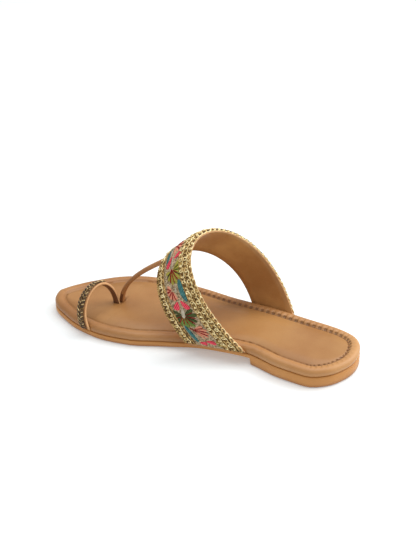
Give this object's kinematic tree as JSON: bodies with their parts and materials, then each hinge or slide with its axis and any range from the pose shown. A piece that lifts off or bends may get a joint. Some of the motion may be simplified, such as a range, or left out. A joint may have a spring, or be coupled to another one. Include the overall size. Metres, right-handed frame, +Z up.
{
  "type": "toe ring sandal",
  "caption": "Flat leather sandal for the right foot with a wide embroidered instep band, a ring for the big toe and a narrow strap between them.",
  "frame": {"origin": "on the floor, at the middle of the heel's tread", "axes": "+Y from the heel to the toe, +X to the outer side of the foot, +Z up"},
  "size_m": [0.0912, 0.2498, 0.0867],
  "materials": {
    "tan_rubber": "satin, moulded",
    "tan_leather": "smooth, semi-gloss",
    "gold_cord": "metallic thread",
    "dark_cord": "metallic thread, darkened",
    "silk_ribbon": "woven, satin"
  },
  "bodies": {
    "root": {"outsole": "tan_rubber", "footbed": "tan_leather", "strap_upper": "tan_leather", "band_braid_rear": "gold_cord", "band_braid_front": "gold_cord", "band_embroidery": "silk_ribbon", "ring_braid": "dark_cord"}
  },
  "joints": []
}
